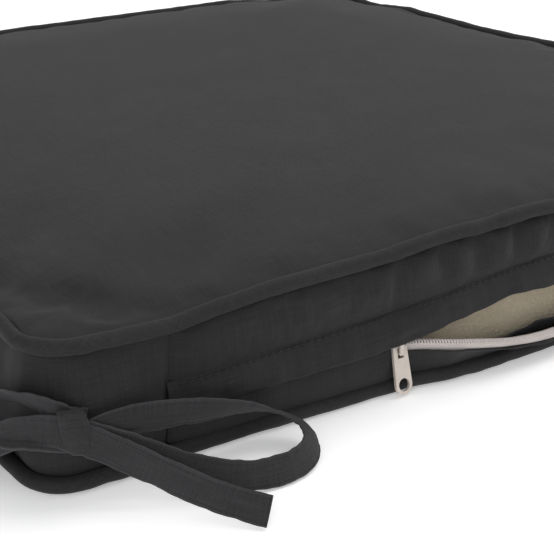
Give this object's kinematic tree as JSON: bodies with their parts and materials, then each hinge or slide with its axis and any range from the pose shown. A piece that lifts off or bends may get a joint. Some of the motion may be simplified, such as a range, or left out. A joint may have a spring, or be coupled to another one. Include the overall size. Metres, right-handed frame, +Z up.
{
  "type": "chair seat pad",
  "caption": "Square box-edged chair seat pad with piped edges, a foam core in a rear-zipped cloth cover, and corner ties knotted in bows.",
  "frame": {"origin": "middle of the resting face, at the lowest level of the pad", "axes": "+Z up out of the sitting face; +Y towards the zipped rear side that carries the ties; +X to the right seen from the front"},
  "size_m": [0.449, 0.4558, 0.0591],
  "materials": {
    "cover_cloth": "charcoal plain-weave polyester, matt",
    "piping_cloth": "the cover cloth cut on the bias",
    "piping_filler": "undyed twisted cord",
    "foam": "open-cell polyurethane foam, aged cream",
    "zip_tape": "woven ecru tape",
    "zip_coil": "nylon monofilament coil",
    "zip_metal": "satin off-white lacquer on die-cast zinc",
    "tie_ribbon": "folded and stitched cover cloth"
  },
  "bodies": {
    "cushion": {"foam_core": "foam", "top_panel": "cover_cloth", "bottom_panel": "cover_cloth", "boxing_band": "cover_cloth", "zip_panel_upper": "cover_cloth", "zip_panel_lower": "cover_cloth", "top_piping_cover": "piping_cloth", "top_piping_cord": "piping_filler", "bottom_piping_cover": "piping_cloth", "bottom_piping_cord": "piping_filler", "zip_tape_upper": "zip_tape", "zip_tape_lower": "zip_tape", "zip_coil_upper": "zip_coil", "zip_coil_lower": "zip_coil", "tie_right_knot": "tie_ribbon", "tie_right_side_strap": "tie_ribbon", "tie_right_rear_strap": "tie_ribbon", "tie_left_knot": "tie_ribbon", "tie_left_side_strap": "tie_ribbon", "tie_left_rear_strap": "tie_ribbon"},
    "zip_slider": {"zip_slider_body": "zip_metal"},
    "zip_pull": {"zip_pull_tab": "zip_metal"}
  },
  "joints": [
    {"name": "zip_slide", "type": "slide", "parent": "cushion", "child": "zip_slider", "axis": [-1, 0, 0], "range_m": [-0.0436, 0.1644], "deforming": ["zip_coil_upper", "zip_coil_lower", "zip_tape_upper", "zip_tape_lower"]},
    {"name": "zip_pull_swing", "type": "hinge", "parent": "zip_slider", "child": "zip_pull", "pos_m": [0.0604, 0.2007, 0.01795], "axis": [1, 0, 0], "range_deg": [0, 85]}
  ]
}
